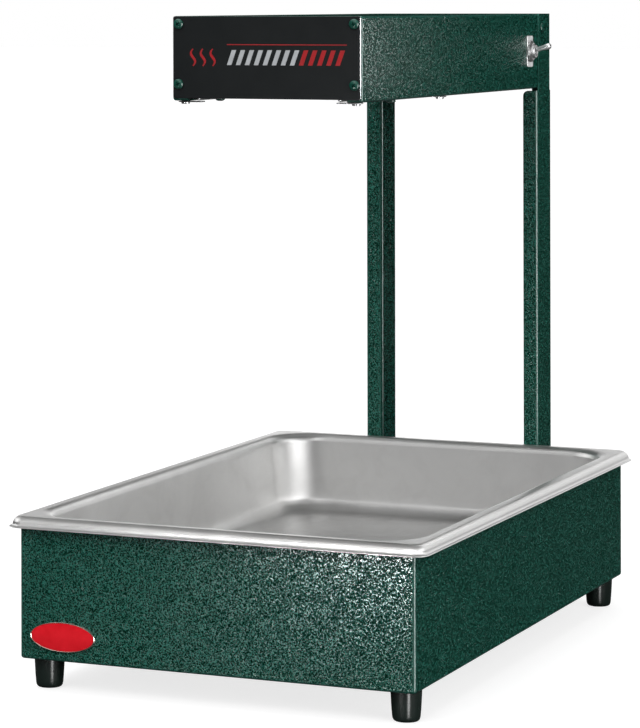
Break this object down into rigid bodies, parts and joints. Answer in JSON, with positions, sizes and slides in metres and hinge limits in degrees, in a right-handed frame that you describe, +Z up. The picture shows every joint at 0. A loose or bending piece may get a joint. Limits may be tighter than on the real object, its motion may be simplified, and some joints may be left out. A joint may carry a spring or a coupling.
{
  "type": "countertop food warmer",
  "caption": "Countertop food warmer: heated base with a lift-out steel pan, two rear posts and an overhead infrared lamp housing with a toggle switch.",
  "frame": {"origin": "centre of the overall footprint, on the surface the feet stand on", "axes": "+X to the right seen from the front (the side with the toggle switch), +Y to the rear, +Z up"},
  "size_m": [0.325, 0.5716, 0.493],
  "materials": {
    "green_coat": "dark green powder coat with a fine hammered vein texture, semi-gloss",
    "black_plate": "smooth black semi-gloss coat with a plain thin red line",
    "pan_steel": "pressed stainless steel, satin with fine brush lines and light scratches",
    "bright_plating": "bright nickel plating",
    "zinc_steel": "zinc plated sheet and fasteners, dull",
    "foot_black": "glossy black moulded foot",
    "black_rubber": "matt black moulded rubber",
    "conduit_sleeve": "ribbed dark grey conduit",
    "badge_enamel": "glossy red domed oval with a light rim",
    "bright_aluminium": "bright rolled aluminium",
    "white_ceramic": "glazed off-white ceramic",
    "heater_silicone": "red-brown silicone blanket",
    "mineral_wool": "pressed mineral wool",
    "thermostat_black": "black moulded disc",
    "glass_sleeve_wire": "braided glass-fibre sleeve",
    "brass": "plain brass"
  },
  "bodies": {
    "warmer": {"base_shell": "green_coat", "post_left": "green_coat", "post_right": "green_coat", "lamp_housing": "green_coat", "rear_end_plate": "green_coat", "face_plate_screw_lower_left": "green_coat", "face_plate_screw_lower_right": "green_coat", "face_plate_screw_upper_left": "green_coat", "face_plate_screw_upper_right": "green_coat", "rear_plate_screw_left": "green_coat", "rear_plate_screw_right": "green_coat", "post_lamp_screw_left": "green_coat", "post_lamp_screw_right": "green_coat", "reflector_screw_left": "green_coat", "reflector_screw_right": "green_coat", "front_face_plate": "black_plate", "toggle_legend_plate": "bright_plating", "toggle_ring_nut": "bright_plating", "wire_guard": "bright_plating", "guard_clip_front_left": "bright_plating", "guard_clip_front_right": "bright_plating", "guard_clip_middle_left": "bright_plating", "guard_clip_middle_right": "bright_plating", "base_bottom_cover": "zinc_steel", "base_support_tray": "zinc_steel", "post_spacer_left": "zinc_steel", "post_spacer_right": "zinc_steel", "heat_baffle": "zinc_steel", "toggle_switch_body": "zinc_steel", "post_base_screw_lower_left": "zinc_steel", "post_base_screw_lower_right": "zinc_steel", "post_base_screw_upper_left": "zinc_steel", "post_base_screw_upper_right": "zinc_steel", "foot_screw_front_left": "zinc_steel", "foot_screw_front_right": "zinc_steel", "foot_screw_rear_left": "zinc_steel", "foot_screw_rear_right": "zinc_steel", "foot_front_left": "foot_black", "foot_front_right": "foot_black", "foot_rear_left": "foot_black", "foot_rear_right": "foot_black", "power_cord": "black_rubber", "plug_body": "black_rubber", "cord_strain_relief": "black_rubber", "conduit_bushing": "black_rubber", "supply_conduit": "conduit_sleeve", "base_badge": "badge_enamel", "reflector": "bright_aluminium", "ceramic_element_front": "white_ceramic", "ceramic_element_rear": "white_ceramic", "terminal_block": "white_ceramic", "base_blanket_heater": "heater_silicone", "base_insulation_pad": "mineral_wool", "base_thermostat": "thermostat_black", "element_wiring": "glass_sleeve_wire", "plug_line_blade": "brass", "plug_neutral_blade": "brass", "plug_ground_pin": "brass"},
    "pan": {"food_pan": "pan_steel"},
    "toggle_lever": {"toggle_lever": "bright_plating"}
  },
  "joints": [
    {"name": "toggle_flip", "type": "hinge", "parent": "warmer", "child": "toggle_lever", "pos_m": [0.0771, 0.22725, 0.4613], "axis": [0, 1, 0], "range_deg": [0, 30]},
    {"name": "pan_lift", "type": "slide", "parent": "warmer", "child": "pan", "axis": [0, 0, 1], "range_m": [0, 0.12]}
  ]
}
